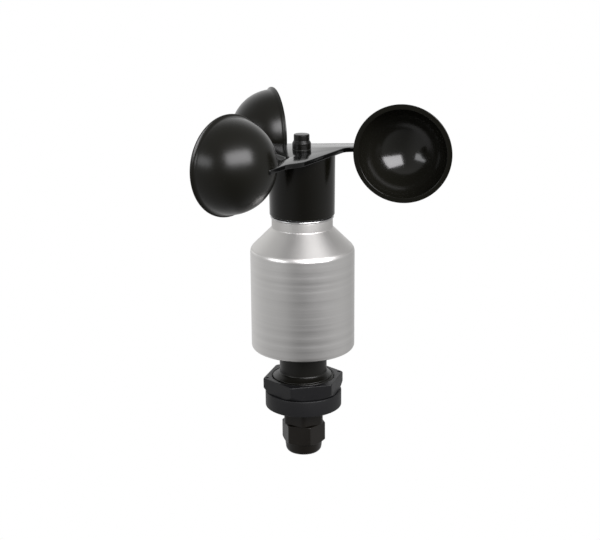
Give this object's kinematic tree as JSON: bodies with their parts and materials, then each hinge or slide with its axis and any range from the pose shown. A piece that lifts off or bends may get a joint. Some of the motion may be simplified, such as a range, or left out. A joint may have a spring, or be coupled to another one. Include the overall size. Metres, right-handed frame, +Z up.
{
  "type": "cup anemometer",
  "caption": "Cup anemometer: black cups on a star-shaped rotor over a turned aluminium housing, with a threaded stem, lock nut and cable gland below.",
  "frame": {"origin": "centre of the seating face under the housing, where a bracket bears, on the rotor's axis", "axes": "+Z up along the rotor's axis; +X along the line to the centre of cup 1, which opens towards -Y"},
  "size_m": [0.1104, 0.1179, 0.1653],
  "materials": {
    "gloss_black": "injection-moulded black plastic, semi-gloss",
    "satin_black": "moulded black plastic, satin",
    "gland_black": "moulded black polyamide",
    "anodised": "fine-turned, clear anodised aluminium",
    "bare_aluminium": "machined aluminium",
    "steel": "stainless steel, turned",
    "bearing_steel": "polished bearing steel",
    "spring_steel": "blackened spring steel",
    "brass": "turned brass",
    "cage_plastic": "glass-filled polyamide cage",
    "rubber_black": "black seal rubber",
    "board_green": "glass-fibre circuit board with green resist",
    "terminal_green": "moulded green terminal body",
    "can_metal": "sleeved capacitor can",
    "arrester_blue": "dipped ceramic, blue",
    "disc_black": "etched disc, blackened"
  },
  "bodies": {
    "frame": {"upper_bearing_outer": "bearing_steel", "upper_bearing_shields": "steel", "upper_circlip": "spring_steel", "lower_bearing_outer": "bearing_steel", "lower_bearing_shields": "steel", "lower_circlip": "spring_steel", "wave_spring": "spring_steel", "bearing_tube": "bare_aluminium", "tube_screws": "steel", "labyrinth_ring": "anodised", "housing_shell": "anodised", "opto_fork": "satin_black", "circuit_board": "board_green", "board_pillars": "brass", "board_screws": "steel", "driver_chip": "satin_black", "capacitors": "can_metal", "surge_arresters": "arrester_blue", "terminal_block": "terminal_green", "terminal_screws": "steel", "base_stem": "satin_black", "base_o_ring": "rubber_black", "stem_gasket": "rubber_black", "lock_nut": "satin_black", "gland_adapter": "satin_black", "gland_gasket": "rubber_black", "gland_body": "gland_black", "gland_seal": "rubber_black", "gland_dome_nut": "gland_black"},
    "rotor": {"rotor_hub": "gloss_black", "cup_1": "gloss_black", "cup_2": "gloss_black", "cup_3": "gloss_black", "cap_nut": "gloss_black", "cap_washer": "satin_black", "drive_pin": "steel", "shaft": "steel", "hub_shim": "steel", "upper_bearing_inner": "bearing_steel", "bearing_spacer": "steel", "lower_bearing_inner": "bearing_steel", "shaft_circlip": "spring_steel", "disc_hub": "brass", "disc_grub_screw": "spring_steel", "slotted_disc": "disc_black"},
    "upper_cage": {"upper_bearing_cage": "cage_plastic", "upper_bearing_balls": "bearing_steel"},
    "lower_cage": {"lower_bearing_cage": "cage_plastic", "lower_bearing_balls": "bearing_steel"}
  },
  "joints": [
    {"name": "rotor_spin", "type": "hinge", "parent": "frame", "child": "rotor", "pos_m": [0, 0, 0.0923], "axis": [0, 0, 1], "continuous": true},
    {"name": "upper_cage_spin", "type": "hinge", "parent": "frame", "child": "upper_cage", "pos_m": [0, 0, 0.0825], "axis": [0, 0, 1], "continuous": true},
    {"name": "lower_cage_spin", "type": "hinge", "parent": "frame", "child": "lower_cage", "pos_m": [0, 0, 0.053], "axis": [0, 0, 1], "continuous": true}
  ],
  "couplings": [
    {"joint": "upper_cage_spin", "follows": "rotor_spin", "ratio": 0.3596},
    {"joint": "lower_cage_spin", "follows": "rotor_spin", "ratio": 0.3596}
  ]
}
